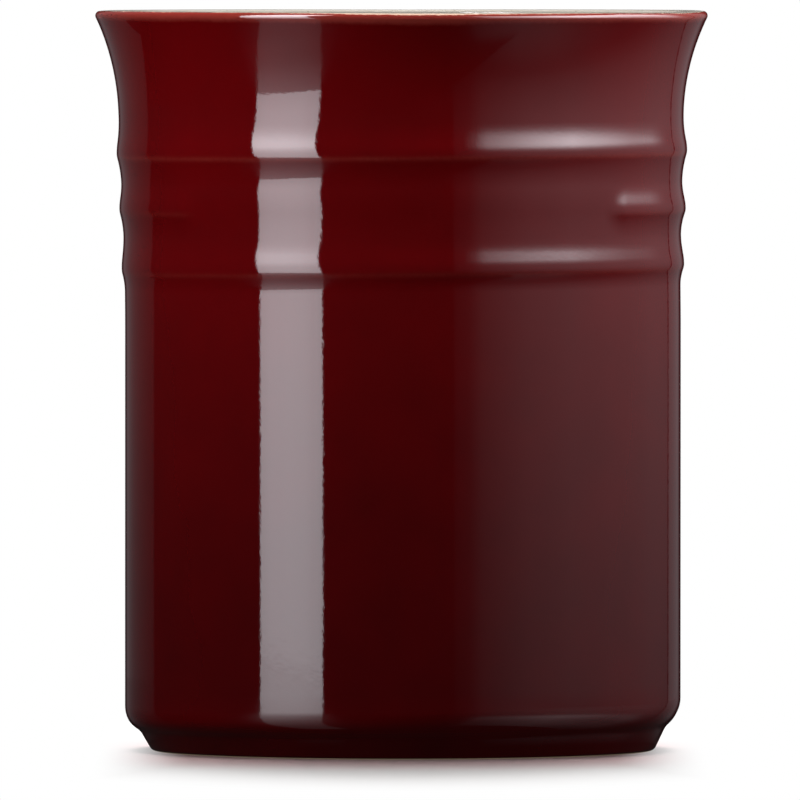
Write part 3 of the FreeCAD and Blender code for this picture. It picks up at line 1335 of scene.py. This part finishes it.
SIDE_PANEL = Card(
    "side_panel",
    distances=((0, 0.45),),
    lobes=(
        # even glow over the wall
        Lobe(
            azimuths=(
                (19.0, 0),
                (20.4, 0.09),
                (26, 0.16),
                (31.5, 0.4),
                (50, 0.8),
                (70, 1),
                (91, 0.9),
                (118, 0.6),
                (137.2, 0.3),
            ),
            heights=(
                (-0.3, 0.06),
                (-0.13, 0.085),
                (-0.07, 0.1),
                (-0.03, 0.2),
                (0, 0.31),
                (0.05, 0.47),
                (0.135, 0.75),
                (0.6, 0.75),
            ),
        ),
        # low patch that the front of the flare sees
        Lobe(
            azimuths=((28, 0), (35, 0.3), (41, 0.6), (48, 1), (64, 1), (78, 0.45), (96, 0)),
            heights=((-0.3, 0.17), (-0.17, 0.16), (-0.08, 0.1), (-0.03, 0)),
        ),
        # bright upper half that the ridges see
        Lobe(
            azimuths=(
                (24, 0),
                (28.6, 0.06),
                (33, 0.28),
                (41.5, 0.43),
                (55, 0.72),
                (70, 0.98),
                (91, 0.58),
                (100.5, 0.4),
                (106, 0.35),
                (117, 0.3),
                (122, 0.17),
                (127, 0.05),
                (132, 0),
            ),
            heights=(
                (0.135, 0),
                (0.155, 0.6),
                (0.175, 2.2),
                (0.194, 5.5),
                (0.214, 8.4),
                (0.24, 9.8),
                (0.34, 12),
                (0.42, 15),
                (0.6, 15),
            ),
        ),
        # its top on the right, for the lip
        Lobe(
            azimuths=((60, 0), (90, 1), (130, 1), (137.2, 0.5)),
            heights=((0.3, 0), (0.4, 3), (0.6, 3)),
        ),
    ),
)

BACK_RIGHT = Card(
    "back_right",
    distances=((0, 0.60),),
    lobes=(
        Lobe(
            azimuths=((140, 1), (156, 1), (163, 0.03)),
            heights=((-0.16, 0.12), (-0.01, 0.16), (0.08, 0.22), (0.15, 0.25), (0.5, 0.3)),
        ),
    ),
)

BACK_LEFT = Card(
    "back_left",
    distances=((0, 0.45),),
    lobes=(
        Lobe(
            azimuths=((-163, 0.03), (-156.3, 1.1), (-143.3, 0.75), (-120.3, 0.42)),
            heights=((-0.01, 0.11), (0.1, 0.14), (0.5, 0.15)),
        ),
    ),
)


@dataclass(frozen=True)
class Lamp:
    """A soft lamp that faces the crock; what the gloss shows of it is a card's.

    The azimuth is in degrees from the camera's side, positive to the right. Lengths are in metres and
    the power is in watts.
    """

    name: str
    azimuth: float
    distance: float
    height: float
    width: float
    length: float
    power: float
    outside_only: bool = False

    def build(self, aim: Vector, outside: list[bpy.types.Object]) -> None:
        """Hang the lamp.

        Args:
            aim: the point it faces.
            outside: the crock's outer pieces, all that a lamp for the outside lights.
        """
        data = bpy.data.lights.new(self.name, "AREA")
        data.shape = "RECTANGLE"
        data.size = self.width
        data.size_y = self.length
        data.energy = self.power
        lamp = bpy.data.objects.new(self.name, data)
        turn = math.radians(self.azimuth)
        lamp.location = (math.sin(turn) * self.distance, -math.cos(turn) * self.distance, self.height)
        lamp.rotation_euler = (aim - lamp.location).to_track_quat("-Z", "Y").to_euler()
        lamp.visible_glossy = False
        lamp.visible_camera = False
        bpy.context.scene.collection.objects.link(lamp)
        if self.outside_only:
            lit = bpy.data.collections.new(self.name + "_lights")
            for piece in outside:
                lit.objects.link(piece)
            lamp.light_linking.receiver_collection = lit


@dataclass
class Studio:
    """A pale floor, soft lamps, reflector cards and the camera. Lengths are in metres."""

    crock_height: float
    outside: list[bpy.types.Object]
    camera_distance: float = 4.70
    camera_height: float = 0.1805
    aim_height: float = 0.07106
    aim_right: float = -0.0003  # of the point that the camera faces
    frame_width: float = 0.1623  # width of the picture where the crock stands
    sensor: float = 36.0  # millimetres
    sight: float = 50.0  # how far the camera sees
    ambient: float = 0.2  # strength of the surround as a light
    lamps: tuple[Lamp, ...] = (
        Lamp(
            "top_back_softbox",
            azimuth=180,
            distance=0.34,
            height=0.72,
            width=0.55,
            length=0.78,
            power=10.6,
        ),
        Lamp(
            "left_strip",
            azimuth=-49,
            distance=0.34,
            height=0.31,
            width=0.20,
            length=0.20,
            power=1.35,
            outside_only=True,
        ),
        Lamp(
            "right_softbox",
            azimuth=76,
            distance=0.34,
            height=0.35,
            width=0.20,
            length=0.20,
            power=2.03,
            outside_only=True,
        ),
    )
    tent_radius: float = 1.7
    tent_facets: int = 3
    tent_glow: float = 0.012  # what the gloss sees between the cards
    cards: tuple[Card, ...] = (STRIP_LIGHT, SIDE_PANEL, BACK_RIGHT, BACK_LEFT)

    def build(self) -> None:
        """Make the floor, lights, cards and camera."""
        self.world()
        MattWhiteFloor().build()
        self.tent()
        PolishedDarkTable().build()
        for card in self.cards:
            card.build()
        for lamp in self.lamps:
            lamp.build(Vector((0, 0, self.crock_height / 2)), self.outside)
        self.camera()
        LOG.info("studio has %d lamps and %d cards", len(self.lamps), len(self.cards))

    def world(self) -> None:
        """Make the surround white to the eye, with a low plain ambient light."""
        world = bpy.data.worlds.new("studio_surround")
        world.use_nodes = True
        tree = world.node_tree
        tree.nodes.clear()
        strength = add_node(
            tree, "ShaderNodeMapRange", Value=seen_rays(tree), To_Min=self.ambient, To_Max=1.0
        ).outputs[0]
        shade = add_node(tree, "ShaderNodeBackground", Color=hex_to_linear(WHITE), Strength=strength)
        add_node(tree, "ShaderNodeOutputWorld", Surface=shade.outputs[0])
        bpy.context.scene.world = world

    def tent(self) -> None:
        """Close the studio with a dark tent, so that the gloss stays deep between the cards."""
        work = bmesh.new()
        bmesh.ops.create_icosphere(work, subdivisions=self.tent_facets, radius=self.tent_radius)
        mesh = bpy.data.meshes.new("dark_tent")
        work.to_mesh(mesh)
        work.free()
        hang_card(mesh, np.full(len(mesh.vertices), self.tent_glow))

    def camera(self) -> None:
        """Set a long lens a little above the rim, as the photograph has it."""
        aim = Vector((self.aim_right, 0, self.aim_height))
        place = Vector((self.aim_right, -self.camera_distance, self.camera_height))
        data = bpy.data.cameras.new("camera")
        data.sensor_width = self.sensor
        data.lens = self.sensor * (place - aim).length / self.frame_width
        data.clip_end = self.sight
        camera = bpy.data.objects.new("camera", data)
        camera.location = place
        camera.rotation_euler = (aim - place).to_track_quat("-Z", "Y").to_euler()
        bpy.context.scene.collection.objects.link(camera)
        bpy.context.scene.camera = camera


def main() -> None:
    """Build the crock and its studio in order."""
    logging.basicConfig(level=logging.INFO, format="%(name)s: %(message)s")
    LOG.info("frame has %d nodes", len(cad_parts))
    bpy.context.scene.view_settings.view_transform = "Standard"
    low, high = CAD_BOX
    pieces = Crock(CrockForm(height=high.z / MM, rim_radius=(high.x - low.x) / 2 / MM)).build()
    Studio(high.z, [piece for piece in pieces if piece.name != INNER_COAT]).build()


if __name__ == "__main__":
    main()
